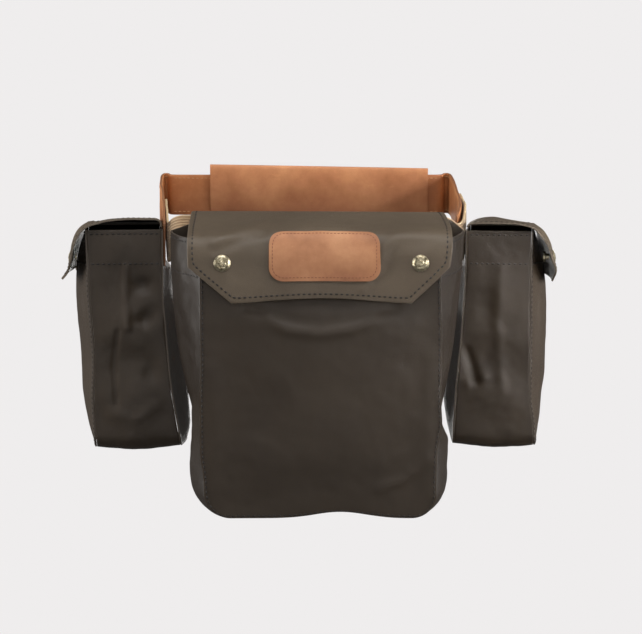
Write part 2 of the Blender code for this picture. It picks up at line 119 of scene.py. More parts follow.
class Wire:
    # one socket of a material's tree, with Math nodes behind its operators
    def __init__(self, tree, socket):
        self.tree = tree
        self.socket = socket

    def put(self, target, value):
        if isinstance(value, Wire):
            self.tree.links.new(value.socket, target)
        else:
            target.default_value = value

    def make(self, kind, settings=None, output=0, **sockets):
        node = self.tree.nodes.new(kind)
        for name, value in (settings or {}).items():
            if name == "stops":
                while len(node.color_ramp.elements) < len(value):
                    node.color_ramp.elements.new(0.5)
                for stop, (place, colour) in zip(node.color_ramp.elements, value):
                    stop.position = place
                    stop.color = colour
            else:
                setattr(node, name, value)
        for name, value in sockets.items():
            key = int(name[1:]) if name[1:].isdigit() else name.replace("_", " ")
            self.put(node.inputs[key], value)
        return Wire(self.tree, node.outputs[output])

    def math(self, operation, other=0.0, third=0.0):
        return self.make("ShaderNodeMath", {"operation": operation}, s0=self, s1=other, s2=third)

    def __add__(self, other):
        return self.math("ADD", other)

    __radd__ = __add__

    def __mul__(self, other):
        return self.math("MULTIPLY", other)

    __rmul__ = __mul__

    def __sub__(self, other):
        return self.math("SUBTRACT", other)

    def __rsub__(self, other):
        return self.make("ShaderNodeMath", {"operation": "SUBTRACT"}, s0=other, s1=self)

    def clamped(self):
        return self.make("ShaderNodeClamp", s0=self)

    def blend(self, one, two):
        # a colour between two, with this socket as the share of the second
        settings = {"data_type": "RGBA"}
        return self.make("ShaderNodeMix", settings, 2, s0=self, s6=one, s7=two)


def tone(red, green, blue):
    # from the numbers that a picture program shows
    def linear(value):
        value = value / 255
        return value / 12.92 if value <= 0.04045 else ((value + 0.055) / 1.055) ** 2.4
    return (linear(red), linear(green), linear(blue), 1)


def startMaterial(name):
    material = bpy.data.materials.new(name)
    material.use_nodes = True
    tree = material.node_tree
    return material, tree.nodes["Principled BSDF"], Wire(tree, None)


def noisy(wire, size, detail=3.0, rough=0.5, stretch=(1, 1, 1)):
    # noise over the piece; size is that of its blotches, in metres
    place = wire.make("ShaderNodeTexCoord", output=3)
    if stretch != (1, 1, 1):
        place = wire.make("ShaderNodeMapping", Vector=place, Scale=stretch)
    return wire.make("ShaderNodeTexNoise", Vector=place, Scale=1 / size, Detail=detail, Roughness=rough)


def clothPlace(wire):
    # metres along and down the sheet
    place = wire.make("ShaderNodeUVMap", {"uv_map": "cloth"})
    return [wire.make("ShaderNodeSeparateXYZ", output=k, Vector=place) for k in (0, 1)]


def bumpy(wire, height, strength):
    # the height is in metres
    return wire.make("ShaderNodeBump", Height=height, Distance=1.0, Strength=strength)


canvasFinish = {
    "weave": 0.00095, "weaveDepth": 0.00005,
    "blotches": 0.09, "specks": 0.0016, "rubbing": 0.028,  # sizes of what varies over the cloth
    "grainDepth": 0.00012, "rubDepth": 0.00035, "bump": 0.8,
    # factor and offset that make a share of the millimetres from the nearest edge: for worn, edge wear with a
    # painted highlight; for hem, painted shade along the seams
    "worn": (-0.9, 1.3), "wornAndHighlightShare": 0.35,
    "hem": (-0.35, 1.9), "seamShadeShare": 0.22,
    "rough": 0.42, "roughRubbing": 0.22, "roughSpecks": 0.12,
    "shine": 0.38,
}


def coatedCanvas(name, dark, light):
    # a tight plain weave under a waxy coat
    material, shader, wire = startMaterial(name)
    own = canvasFinish
    along, down = clothPlace(wire)
    turn = 2 * math.pi / own["weave"]
    weave = (along * turn).math("SINE") * (down * turn).math("SINE")
    blotches = noisy(wire, own["blotches"], 4.0)
    specks = noisy(wire, own["specks"], 2.0, 0.7)
    rubbed = noisy(wire, own["rubbing"], 5.0, 0.62)
    margin = wire.make("ShaderNodeAttribute", {"attribute_name": "margin"}, 2) * 1000  # in millimetres
    # paler within about a millimetre of each edge: edge wear and a painted highlight along the edge
    worn = margin.math("MULTIPLY_ADD", *own["worn"]).clamped() * own["wornAndHighlightShare"]
    # painted shade: darker within about five millimetres of each edge, for the dark shadow line along the
    # seams
    hem = margin.math("MULTIPLY_ADD", *own["hem"]).clamped() * own["seamShadeShare"]
    tint = blotches.math("MULTIPLY_ADD", 1.7, -0.35) + (specks - 0.5) * 0.5 - hem + worn
    wire.put(shader.inputs["Base Color"], tint.clamped().blend(dark, light))
    rough = (rubbed - 0.5) * own["roughRubbing"] + own["rough"] + (specks - 0.5) * own["roughSpecks"]
    wire.put(shader.inputs["Roughness"], rough)
    shader.inputs["Specular IOR Level"].default_value = own["shine"]
    height = weave * own["weaveDepth"] + specks * own["grainDepth"] + rubbed * own["rubDepth"]
    wire.put(shader.inputs["Normal"], bumpy(wire, height, own["bump"]))
    return material


# the noise is its size, detail and roughness
edgeFinish = {"noise": (0.0012, 3.0, 0.7), "darker": 0.55, "rough": 0.6, "depth": 0.0002, "bump": 0.6}
threadFinish = {"noise": (0.0007, 2.0, 0.5), "darker": 0.6, "rough": 0.62, "depth": 0.00012, "bump": 0.7}


def fuzzyFinish(name, colour, own):
    # one colour under a fine fuzz, for thread and for cut or turned edges
    material, shader, wire = startMaterial(name)
    fuzz = noisy(wire, *own["noise"])
    darker = tuple(channel * own["darker"] for channel in colour[:3]) + (1,)
    wire.put(shader.inputs["Base Color"], fuzz.blend(darker, colour))
    shader.inputs["Roughness"].default_value = own["rough"]
    wire.put(shader.inputs["Normal"], bumpy(wire, fuzz * own["depth"], own["bump"]))
    return material


leatherFinish = {
    "clouds": 0.045, "scuffs": 0.016, "grain": 0.0011,  # sizes of what varies over the hide
    "stops": (0.30, 0.50, 0.72),  # where the clouds are deep, body and pale
    "scuffStretch": (1, 1, 2.4), "scuffShare": 0.55, "scuffLighter": 1.15,
    "grainDepth": 0.00008, "scuffDepth": 0.0003, "bump": 0.55,
    "rough": 0.56, "roughClouds": 0.25,
    # what the colour is multiplied by at the lower edge, a painted shade, and at the upper, a painted light
    "paintedShadeLow": (0.42, 0.34, 0.25, 1), "paintedLightHigh": (1.28, 1.28, 1.2, 1),
}


def tanLeather(name, deep, body, pale, low, high):
    # oiled tan hide: cloudy colour, fine pores, a few pale scuffs; painted shade darkens it from high down to
    # low, and painted light lifts its top
    material, shader, wire = startMaterial(name)
    own = leatherFinish
    place = wire.make("ShaderNodeTexCoord", output=3)
    clouds = noisy(wire, own["clouds"], 6.0, 0.6)
    scuffs = noisy(wire, own["scuffs"], 6.0, 0.7, own["scuffStretch"])
    pores = wire.make("ShaderNodeTexVoronoi", Vector=place, Scale=1 / own["grain"])
    stops = list(zip(own["stops"], (deep, body, pale)))
    base = wire.make("ShaderNodeValToRGB", {"stops": stops}, s0=clouds)
    scuffed = tuple(min(channel * own["scuffLighter"], 1) for channel in pale[:3]) + (1,)
    share = scuffs.math("MULTIPLY_ADD", 4.0, -2.45).clamped() * own["scuffShare"]
    # painted shade and painted light: darker towards the bottom, lighter towards the top
    upright = wire.make("ShaderNodeSeparateXYZ", output=2, Vector=place)
    span = {"From_Min": low, "From_Max": high, "To_Min": 0.0, "To_Max": 1.0}
    reach = wire.make("ShaderNodeMapRange", Value=upright, **span)
    shade = reach.blend(own["paintedShadeLow"], own["paintedLightHigh"])
    settings = {"data_type": "RGBA", "blend_type": "MULTIPLY"}
    colour = wire.make("ShaderNodeMix", settings, 2, s0=1.0, s6=share.blend(base, scuffed), s7=shade)
    wire.put(shader.inputs["Base Color"], colour)
    wire.put(shader.inputs["Roughness"], own["rough"] + (clouds - 0.5) * own["roughClouds"])
    height = pores * own["grainDepth"] + scuffs * own["scuffDepth"]
    wire.put(shader.inputs["Normal"], bumpy(wire, height, own["bump"]))
    return material


webbingFinish = {
    # shade and light are one webbing colour as painted shade and as painted light; ribs, picks, fuzz and dirt
    # noise mix the two
    "shade": tone(142, 110, 76), "light": tone(204, 176, 140),
    "rib": 0.0026, "ribDepth": 0.00022, "pick": 0.0011, "pickDepth": 0.00012,
    "fuzz": 0.0012, "fuzzDepth": 0.0001, "dirt": 0.03,
    "rough": 0.88, "sheen": 0.25, "bump": 0.9,
}


def cottonWebbing(name):
    # ribs along the webbing, crossed by fine picks
    material, shader, wire = startMaterial(name)
    own = webbingFinish
    along, down = clothPlace(wire)
    ribs = (down * (2 * math.pi / own["rib"])).math("SINE")
    picks = (along * (2 * math.pi / own["pick"]) + ribs * 1.4).math("SINE")
    fuzz = noisy(wire, own["fuzz"], 3.0, 0.7)
    dirt = noisy(wire, own["dirt"], 4.0)
    share = ribs * 0.22 + picks * 0.14 + (fuzz - 0.5) * 0.5 + dirt * 0.7 + 0.1
    wire.put(shader.inputs["Base Color"], share.clamped().blend(own["shade"], own["light"]))
    shader.inputs["Roughness"].default_value = own["rough"]
    shader.inputs["Sheen Weight"].default_value = own["sheen"]
    height = ribs * own["ribDepth"] + picks * own["pickDepth"] + fuzz * own["fuzzDepth"]
    wire.put(shader.inputs["Normal"], bumpy(wire, height, own["bump"]))
    return material


brassFinish = {
    "dull": tone(96, 84, 58), "bright": tone(214, 204, 176),
    "dirt": 0.0022, "dirtDepth": 0.0002, "worn": 0.006,
    "rough": 0.24, "roughWorn": 0.2, "bump": 0.5,
}


def oldBrass(name):
    material, shader, wire = startMaterial(name)
    own = brassFinish
    dirt = noisy(wire, own["dirt"], 4.0, 0.65)
    worn = noisy(wire, own["worn"], 3.0)
    share = dirt.math("MULTIPLY_ADD", 2.6, -0.8).clamped()
    wire.put(shader.inputs["Base Color"], share.blend(own["dull"], own["bright"]))
    shader.inputs["Metallic"].default_value = 1.0
    wire.put(shader.inputs["Roughness"], own["rough"] + worn * own["roughWorn"])
    wire.put(shader.inputs["Normal"], bumpy(wire, dirt * own["dirtDepth"], own["bump"]))
    return material


bodyCanvas = coatedCanvas("canvasBody", tone(47, 38, 29), tone(61, 51, 40))
# the game pouch's gussets take a darker copy of the body's canvas: painted shade from the side pouches
paintedShadeCanvas = coatedCanvas("canvasGussetPaintedShade", tone(33, 26, 20), tone(44, 36, 28))
# the flaps take a lighter copy of the body's canvas: painted light from above
paintedLightFlapCanvas = coatedCanvas("canvasFlapPaintedLight", tone(78, 67, 54), tone(97, 85, 70))
bodyEdge = fuzzyFinish("canvasEdge", tone(80, 70, 60), edgeFinish)
# the flap's edge is lighter than the body's edge: painted light, as on the flap
flapEdgePaintedLight = fuzzyFinish("flapEdgePaintedLight", tone(116, 104, 90), edgeFinish)
# the last two numbers are where the painted shade is deepest and the painted light brightest, in metres up
sleeveLeather = tanLeather("sleeveLeather", tone(150, 94, 58), tone(176, 118, 80), tone(200, 144, 102),
                           -0.02, 0.036)
beltLeather = tanLeather("beltLeather", tone(138, 82, 46), tone(164, 104, 63), tone(188, 128, 85),
                         -0.03, 0.03)
patchLeather = tanLeather("patchLeather", tone(138, 88, 58), tone(166, 114, 80), tone(188, 138, 102),
                          -0.09, 0.03)
leatherEdge = fuzzyFinish("leatherEdge", tone(150, 100, 66), edgeFinish)
cotton = cottonWebbing("webbingCotton")
cottonEdge = fuzzyFinish("webbingEdge", tone(214, 190, 150), edgeFinish)
darkThread = fuzzyFinish("darkThread", tone(26, 20, 16), threadFinish)
tanThread = fuzzyFinish("tanThread", tone(206, 158, 112), threadFinish)
patchThread = fuzzyFinish("patchThread", tone(128, 70, 44), threadFinish)
brass = oldBrass("snapBrass")
print("materials")


# sheets, stitches and how pieces join the model

def finishPiece(piece, nodes):
    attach(piece, "root")
    if nodes:
        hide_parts(*nodes)


def meshPiece(name, net, materials):
    mesh = bpy.data.meshes.new(name)
    net.to_mesh(mesh)
    net.free()
    for material in materials:
        mesh.materials.append(material)
    piece = bpy.data.objects.new(name, mesh)
    scene.collection.objects.link(piece)
    return piece


def clothSheet(name, surface, wall, materials, side=-1, round=0.35, closed=False):
    # a grid that is pulled into shape, then given its wall and soft edges
    rows, columns = surface.shape[0] - 1, surface.shape[1] - 1
    across = np.linalg.norm(np.diff(surface, axis=1), axis=2).mean(0)
    down = np.linalg.norm(np.diff(surface, axis=0), axis=2).mean(1)
    u = np.concatenate([[0], np.cumsum(across)]) * mm
    v = np.concatenate([[0], np.cumsum(down)]) * mm
    net = bmesh.new()
    bmesh.ops.create_grid(net, x_segments=columns, y_segments=rows, size=1)
    layer = net.loops.layers.uv.new("cloth")
    margin = net.verts.layers.float.new("margin")  # how far inside the nearest edge
    spots = {}
    for vert in net.verts:
        column = math.floor((vert.co.x + 1) / 2 * columns + 0.5)
        row = math.floor((1 - vert.co.y) / 2 * rows + 0.5)
        spots[vert] = (row, column)
        vert[margin] = min(u[column], u[-1] - u[column], v[row], v[-1] - v[row])
    for face in net.faces:
        face.smooth = True
        for loop in face.loops:
            row, column = spots[loop.vert]
            loop[layer].uv = (u[column], v[row])
    for vert, (row, column) in spots.items():
        vert.co = Vector(surface[row, column]) * mm
    if closed:
        bmesh.ops.remove_doubles(net, verts=net.verts, dist=1e-6)
    piece = meshPiece(name, net, materials)
    wallMaker = piece.modifiers.new("wall", "SOLIDIFY")
    wallMaker.thickness = wall * mm
    wallMaker.offset = side
    wallMaker.use_even_offset = True
    wallMaker.material_offset_rim = len(materials) - 1
    softener = piece.modifiers.new("softEdge", "BEVEL")
    softener.width = round * mm
    softener.segments = 2
    softener.limit_method = "ANGLE"
    softener.angle_limit = math.radians(50)
    softener.material = -1
    return piece


def sampled(surface, row, column):
    row = min(max(row, 0), surface.shape[0] - 1.001)
    column = min(max(column, 0), surface.shape[1] - 1.001)
    r, c = int(row), int(column)
    a, b = row - r, column - c
    top = surface[r, c] * (1 - b) + surface[r, c + 1] * b
    low = surface[r + 1, c] * (1 - b) + surface[r + 1, c + 1] * b
    return top * (1 - a) + low * a


def evenPath(surface, path, pitch):
    # points at even steps along a path of rows and columns, with the way out at each
    normals = outward(surface)
    fine = []
    for (r0, c0), (r1, c1) in zip(path, path[1:]):
        count = max(int(max(abs(r1 - r0), abs(c1 - c0))), 1)
        fine += [(r0 + (r1 - r0) * k / count, c0 + (c1 - c0) * k / count) for k in range(count)]
    fine.append(path[-1])
    points = np.array([sampled(surface, r, c) for r, c in fine])
    ways = np.array([sampled(normals, r, c) for r, c in fine])
    length = np.concatenate([[0], np.cumsum(np.linalg.norm(np.diff(points, axis=0), axis=1))])
    count = max(int(length[-1] / pitch), 2)
    where = np.linspace(0, length[-1], count + 1)
    points = np.array([np.interp(where, length, points[:, k]) for k in range(3)]).T
    ways = np.array([np.interp(where, length, ways[:, k]) for k in range(3)]).T
    return points, ways


def stitches(name, rows, material, size):
    # rows of thread: each stitch is a small stretched ball, size is its length, width and height
    net = bmesh.new()
    lying = Matrix.Rotation(math.pi / 2, 4, "Y")
    bmesh.ops.create_uvsphere(net, u_segments=6, v_segments=5, radius=1, matrix=lying)
    pattern = bpy.data.meshes.new("oneStitch")
    net.to_mesh(pattern)
    net.clear()
    half = Matrix.Diagonal((size[0] / 2, size[1] / 2, size[2] / 2, 1))
    for points, ways in rows:
        for start, end, way in zip(points, points[1:], ways):
            start, end, way = Vector(start), Vector(end), Vector(way)
            along = (end - start).normalized()
            beside = way.cross(along).normalized()
            turn = Matrix((along, beside, along.cross(beside))).transposed().to_4x4()
            one = pattern.copy()
            one.transform(Matrix.Scale(mm, 4) @ Matrix.Translation((start + end) / 2) @ turn @ half)
            net.from_mesh(one)
            bpy.data.meshes.remove(one)
    bpy.data.meshes.remove(pattern)
    for face in net.faces:
        face.smooth = True
    finishPiece(meshPiece(name, net, [material]), [])


# pouches

mainPouch = {
    "levels": [
        # z, seams left and right, front, back left and right, back, belly, puffs, back belly
        (-1, -104, 115, 174, -135.5, 139.5, 104, -12, 8, 4.5, 0),
        (-25, -105, 115, 175, -135.5, 138.5, 104, -8, 6.5, 3.5, 0),
        (-50, -105, 115, 175, -134.5, 136.5, 104, -1, 4, 2.5, 0),
        (-80, -105, 116, 176, -132.5, 133.5, 104, 7, 2, 1.5, 0),
        (-115, -105, 116, 176, -128.5, 129.5, 104, 6, 1, 1, 0),
        (-150, -106, 116, 176, -121.5, 123.5, 104, 5, -1, -2, 0),
        (-170, -106, 117, 176, -116.5, 119.5, 104, 5, 3, -2, 0),
        (-195, -106, 113, 176, -112.5, 116.5, 104, 4, 6.5, 10, 0),
        (-225, -103, 112, 175, -110.5, 114.5, 104, 2, 10.5, 10.5, 0),
        (-260.5, -102, 113, 174, -108, 113.5, 105, 0, 6.5, 5.5, 0),
    ],
    "corner": 24, "liftAt": 24, "liftWidth": 34, "lift": 6, "sag": 4.5,
    # how high the back panel stands in front of the webbing: x, height
    "backRises": [(-135.5, 0), (-117, 6.5), (-100, 9), (100, 12.5), (118, 13.5), (128, 9.5), (139.5, 0)],
    "riseDepth": 24,
    "frontMarks": [
        {"line": [(-42, -72), (-26, -82), (5, -86), (34, -82), (52, -72)], "height": 1.8, "width": 5.5},
        {"line": [(-62, -62), (-34, -72), (5, -76), (42, -72), (72, -62)], "height": -1.8, "width": 6},
        {"line": [(-96, -120), (-90, -180), (-94, -232)], "height": 0.9, "width": 9},
        {"line": [(108, -110), (103, -170), (107, -236)], "height": 0.9, "width": 9},
        {"at": (-40, -165), "size": (38, 22), "turn": 25, "height": -0.8},
        {"at": (60, -150), "size": (30, 40), "turn": -20, "height": 0.7},
        {"line": [(60, -232), (84, -222), (104, -205)], "height": 1.1, "width": 6},
    ],
    "gussetMarks": [],
    "hem": 34,
}

leftPouch = {
    "levels": [
        (-2, -58, 58, 73.5, -58, 58, 0, 0, 0, 0, 0),
        (-30, -59, 59, 72.5, -59, 59, 0, 9, 0, 1, 1.5),
        (-42, -59.5, 59.5, 72, -59.5, 59.5, 0, 10.6, 0.5, -0.6, 9.5),
        (-60, -60, 60, 71.5, -60, 60, 0, 12, 1, -2, 10),
        (-95, -60, 60, 69, -60, 60, -2, 12.5, 1, 3, 17),
        (-125, -60, 60, 67.5, -60, 60, -4, 12, 0, -2, 16),
        (-160, -60, 60, 68.5, -60, 60, -8, 10, 1, 2, 15),
        (-190, -59, 59, 67.5, -58, 58, -13, 5, 2, 2, 12),
        (-209, -58, 58, 66.5, -57, 57, -16, 1, 1, 0, 6),
    ],
    "corner": 12, "liftAt": 0, "liftWidth": 40, "lift": 1, "sag": 3,
    "hang": (-143.5, -88, 0, 59, -85.5, -5),
    "frontMarks": [],
    "gussetMarks": [
        # depth from the belt's side, z
        {"at": (18, -55), "size": (12, 8), "turn": 10, "height": -4.8},
        {"at": (17, -86), "size": (14, 7), "turn": -35, "height": -5.4},
        {"at": (12, -137), "size": (8, 10), "height": -3.2},
        {"at": (24, -93.5), "size": (5, 5), "height": 1.9},
        {"line": [(35, -38), (36, -66), (34, -94)], "height": 1.9, "width": 4},
        {"line": [(44, -98), (48, -130), (46, -166)], "height": -1.7, "width": 3},
        {"line": [(8, -168), (30, -182), (52, -176)], "height": 1.4, "width": 6},
        {"line": [(14, -18), (50, -18)], "height": 1.0, "width": 11},
    ],
    "hem": 32,
}

rightPouch = {
    "levels": [
        (-3, -58, 58, 64, -58, 58, 0, 0, 0, 0, 0),
        (-30, -59, 59, 63, -59, 59, 0, 9, 1, 0, 3),
        (-42, -59.5, 59.5, 63, -59.5, 59.5, -0.4, 11, 1.4, 0, 9),
        (-60, -60, 60, 63, -60, 60, -1, 13, 2, 0, 9),
        (-95, -60, 60, 63.5, -60, 60, -3, 14, 2, 1, 12),
        (-130, -60, 60, 63.5, -60, 60, -6, 13, -2, 0, 13),
        (-160, -60, 60, 63.5, -60, 60, -8, 10, 3, 1, 13),
        (-185, -59, 59, 67, -59, 59, -9.5, 5, 1, 1, 9),
        (-207, -58, 58, 68, -57, 57, -10.5, 1, 0, 0, 3),
    ],
    "corner": 12, "liftAt": 0, "liftWidth": 40, "lift": 1, "sag": 3,
    "hang": (141.8, -88, 0, -59, 85, 5),
    "frontMarks": [],
    "gussetMarks": [
        {"line": [(2, -117), (9, -137), (11, -145)], "height": -4.6, "width": 4.5},
        {"at": (4, -148), "size": (4, 5), "height": 2.2},
        {"at": (17, -140), "size": (8, 6), "height": 2.0},
        {"at": (20, -74), "size": (11, 16), "turn": 20, "height": -2.2},
        {"line": [(34, -40), (31, -90), (36, -150)], "height": 1.5, "width": 6},
    ],
    "hem": 31,
}

gridStep = 2.0  # millimetres between the rows, and between the columns, of a panel or flap

pouchCloth = {
    "wall": 1.6, "seamGap": 0.2,
    # unevenness: its height and the size of its swells
    "frontRumple": (0.9, 46), "backRumple": (0.56, 50), "gussetRumple": (1.2, 34),
    "calmColumns": 9, "calmPower": 0.7,  # the front is calmer beside its seams
    # stitches: how far apart, which row and column the seams take, how far above the lower edge, size
    "pitch": 4.8, "rimRow": 2, "seamColumn": 1.1, "above": 2.5, "stitch": (3.0, 1.5, 1.2),
}
columnNames = ("z", "left", "right", "front", "backLeft", "backRight", "back", "belly",
               "puffLeft", "puffRight", "backBelly")


def levelCurve(pouch, column, z):
    k = columnNames.index(column)
    return smoothCurve(z, [row[0] for row in pouch["levels"]], [row[k] for row in pouch["levels"]])


def pouchRows(pouch):
    # heights down a pouch, with how far round the lower corner each has gone
    corner = pouch["corner"]
    top = pouch["levels"][0][0]
    low = pouch["levels"][-1][0] + corner
    straight = max(int((top - low) / gridStep), 4)
    bends = max(int(corner * math.pi / 2 / gridStep), 4)
    turn = np.concatenate([np.zeros(straight), np.linspace(0, math.pi / 2, bends + 1)])
    side = np.linspace(top, low, straight + 1)[:-1]
    return np.concatenate([side, low - corner * np.sin(turn[straight:])]), turn


def panelSurface(pouch, face):
    z, turn = pouchRows(pouch)
    front = face == "front"
    names = ("left", "right", "front") if front else ("backLeft", "backRight", "back")
    left, right, out = (levelCurve(pouch, name, z) for name in names)
    belly = levelCurve(pouch, "belly", z) if front else -levelCurve(pouch, "backBelly", z)
    inset = pouch["corner"] * (1 - np.cos(turn))
    part = np.linspace(0, 1, int((right - left).max() / gridStep) + 1)
    across = (left + inset)[:, None] * (1 - part) + (right - inset)[:, None] * part
    bump = np.exp(-(((across - pouch["liftAt"]) / pouch["liftWidth"]) ** 2))
    height = z[:, None] + pouch["lift"] * bump * np.sin(turn)[:, None] ** 2
    if "backRises" in pouch and not front:
        rise = np.interp(across, *np.array(pouch["backRises"]).T)
        height = height + rise * np.clip(1 - (z[0] - z) / pouch["riseDepth"], 0, None)[:, None]
    depth = -(out[:, None] + belly[:, None] * bellyShape(part))
    return np.stack([across, depth, height], axis=2), turn


def rimPath(surface):
    return np.concatenate([surface[:, 0], surface[-1, 1:-1], surface[::-1, -1]])


def gussetSurface(pouch):
    # the strip from panel to panel, with the hand of each of its columns: -1 left, 1 right
    frontPanel, turn = panelSurface(pouch, "front")
    backPanel = panelSurface(pouch, "back")[0]
    near, far = rimPath(frontPanel), rimPath(backPanel)
    count = len(turn)
    if len(far) != len(near):  # the two panels may have a different number of columns
        bottom = np.linspace(0, 1, len(near) - 2 * count + 2)[1:-1]
        old = np.linspace(0, 1, backPanel.shape[1])
        middle = np.array([np.interp(bottom, old, backPanel[-1, :, k]) for k in range(3)]).T
        far = np.concatenate([backPanel[:, 0], middle, backPanel[::-1, -1]])
    turns = np.concatenate([turn, np.full(len(near) - 2 * count, math.pi / 2), turn[::-1]])
    hand = np.where(np.arange(len(near)) < len(near) / 2, -1.0, 1.0)
    puffs = [levelCurve(pouch, name, near[:, 2]) for name in ("puffLeft", "puffRight")]
    out = np.where(hand < 0, *puffs) * np.cos(turns) ** 2 + pouch["sag"] * np.sin(turns) ** 2
    part = np.linspace(0, 1, int((near[:, 1].min() - far[:, 1].max()) / -gridStep))[:, None]
    swell = np.sin(np.pi * part)
    behind = pouchCloth["wall"] + pouchCloth["seamGap"]
    x = near[:, 0] * (1 - part) + far[:, 0] * part + hand * out * swell * np.cos(turns)
    y = (near[:, 1] + behind) * (1 - part) + (far[:, 1] - behind) * part
    z = near[:, 2] * (1 - part) + far[:, 2] * part - out * swell * np.sin(turns)
    return np.stack([x, y, z], axis=2), hand


def moved(surface, place):
    turn = np.array(place.to_3x3())
    return surface @ turn.T + np.array(place.translation)


def hangPlace(pouch):
    if "hang" not in pouch:
        return Matrix.Identity(4)
    x, y, z, nearEdge, yaw, tilt = pouch["hang"]
    turn = Euler((0, math.radians(tilt), math.radians(yaw))).to_matrix()
    return Matrix.Translation(Vector((x, y, z)) - turn @ Vector((nearEdge, 0, 0))) @ turn.to_4x4()


def buildPouch(prefix, pouch, seed):
    place = hangPlace(pouch)
    own = pouchCloth
    front, turn = panelSurface(pouch, "front")
    columns = front.shape[1] - 1
    inside = np.minimum(np.arange(columns + 1), np.arange(columns + 1)[::-1])
    calm = np.clip(inside / own["calmColumns"], 0, 1) ** own["calmPower"]
    relief = rumple(front, *own["frontRumple"], seed) * calm
    relief += marked(front[..., 0], front[..., 2], pouch["frontMarks"])
    front = moved(front + outward(front) * relief[..., None], place)
    piece = clothSheet(prefix + "FrontPanel", front, own["wall"], [bodyCanvas, bodyEdge])
    finishPiece(piece, [prefix + "_front_panel"])

    back = panelSurface(pouch, "back")[0]
    back = back + outward(back) * rumple(back, *own["backRumple"], seed + 1)[..., None]
    back = moved(back[:, ::-1], place)
    piece = clothSheet(prefix + "BackPanel", back, own["wall"], [bodyCanvas, bodyEdge])
    finishPiece(piece, [prefix + "_back_panel"])

    gusset, hand = gussetSurface(pouch)
    deep, length = gusset.shape[0] - 1, gusset.shape[1] - 1
    fade = np.sin(np.pi * np.linspace(0, 1, deep + 1))[:, None] ** 0.5
    relief = rumple(gusset, *own["gussetRumple"], seed + 2) * fade
    chosen = hand == (1.0 if prefix == "left" else -1.0)  # the side beside the game pouch
    relief += marked(-gusset[..., 1], gusset[..., 2], pouch["gussetMarks"]) * chosen * fade
    gusset = moved(gusset + outward(gusset) * relief[..., None], place)
    # painted shade: the game pouch's gussets get the darker canvas
    cloth = paintedShadeCanvas if prefix == "main" else bodyCanvas
    piece = clothSheet(prefix + "Gusset", gusset, own["wall"], [cloth, bodyEdge])
    finishPiece(piece, [prefix + "_gusset"])

    # the seams and the two rows of the hem
    pitch, rim, seam = own["pitch"], own["rimRow"], own["seamColumn"]
    hemRow = pouch["hem"] / gridStep
    low = int(np.searchsorted(turn, math.asin(1 - own["above"] / pouch["corner"])))
    rows = [
        evenPath(front, [(rim, 1), (rim, columns - 1)], pitch),
        evenPath(front, [(hemRow, 1), (hemRow, columns - 1)], pitch),
        evenPath(front, [(1, seam), (low, seam), (low, columns - seam), (1, columns - seam)], pitch),
    ]
    for at in (rim, hemRow):
        rows.append(evenPath(gusset, [(1, at), (deep - 1, at)], pitch))
        rows.append(evenPath(gusset, [(1, length - at), (deep - 1, length - at)], pitch))
    stitches(prefix + "Stitching", rows, darkThread, own["stitch"])
    print("pouch", prefix)


buildPouch("main", mainPouch, 1)
buildPouch("left", leftPouch, 5)
buildPouch("right", rightPouch, 9)


# flaps

mainFlap = {
    "lines": [
        # out, z, left, right, middle in, middle up, far end down, far end in
        (101.8, -46, -108, 112, 0, 0, 0, 0),
        (101.6, -33, -108, 112, 0, 0, 0, 0),
        (98.4, -26, -108, 112, 0, 0, 0, 0),
        (98.2, -8, -109, 113, 0, 0, 0, 0),
        (98.2, 11, -111, 115, 0, 0, 0, 0),
        (99.6, 15.8, -114, 117.5, 0, 0, 0.6, 0),
        (104, 17.4, -115, 120, 0, 0, 1.2, 0),
        (112, 17.2, -115.5, 121, 0, 0, 1.4, 0),
        (130, 14.2, -115.5, 123, 2, 0, 0.8, 0),
        (150, 10.2, -116, 124.5, 5, 0.5, 0, 0),
        (167, 6, -116, 125, 9, 1, 0, 0),
        (177, 1.5, -116, 125, 12, 1, 0, 0),
        (182, -6, -116, 124.8, 11.5, 0, 0, 0),
        (184, -15, -115.8, 124, 9.5, 0, 0, 0),
        (184.5, -24, -115.5, 122.5, 7.5, 0, 0, 0),
        (185, -35, -102.3, 111.3, 5.5, 1, 0, 0),
        (185.5, -46, -89, 99.8, 3.5, 2.5, 0, 0),
        (186, -57, -76, 88, 2, 4.5, 0, 0),
    ],
    "farRight": True,
    "marks": [
        # creases beside the patch and round the right snap
        {"line": [(-92, -3), (-66, 7), (-46, 12)], "height": 1.1, "width": 4},
        {"line": [(-90, -9), (-64, 0), (-46, 5)], "height": -1.2, "width": 4.5},
        {"line": [(44, -44), (56, -27), (63, -10), (73, 2), (86, 5), (119, 6)], "height": 1.3, "width": 4},
        {"line": [(52, -46), (64, -28), (71, -13), (80, -5), (100, -3)], "height": -0.9, "width": 5},
        {"at": (-80, -36), "size": (4, 12), "turn": -15, "height": 0.6},
        {"at": (-103, 4), "size": (7, 14), "turn": 20, "height": -0.9},
    ],
    "stitchFrom": 5.5,
}

leftFlap = {
    "lines": [
        (0.8, 0.4, -60, 60, 0, 0, 0, 0),
        (1.5, 5.2, -61, 61, 0, 0, 3.4, 0),
        (8, 8.8, -62, 62, 0, 0, 7, 0),
        (30, 9, -62, 62, 0, 0, 7.4, 0),
        (50, 7.8, -62, 62, 0, 0, 6.2, 0),
        (62, 5.2, -62, 62, 0, 0, 4, 0),
        (71, 2.6, -62, 62, -1, 0.5, 0.8, 0),
        (78, -2.5, -62, 62, -2, 0, 0, 0.7),
        (83, -10, -62, 62, -2, 0, 0, 5.2),
        (86.5, -20, -62, 62, -1.5, 0, -1, 9.4),
        (88.5, -31, -60, 60, 0, 0, -3, 12),
        (91.1, -41, -46, 46, 0.5, 0, -5, 11),
        (96.8, -49, -33, 33, 2, 0, -7.5, 12.5),
    ],
    "farRight": False,
    "lip": 3.8,  # how far the far edge curls down
    "marks": [],
    "stitchFrom": 1.5,
}

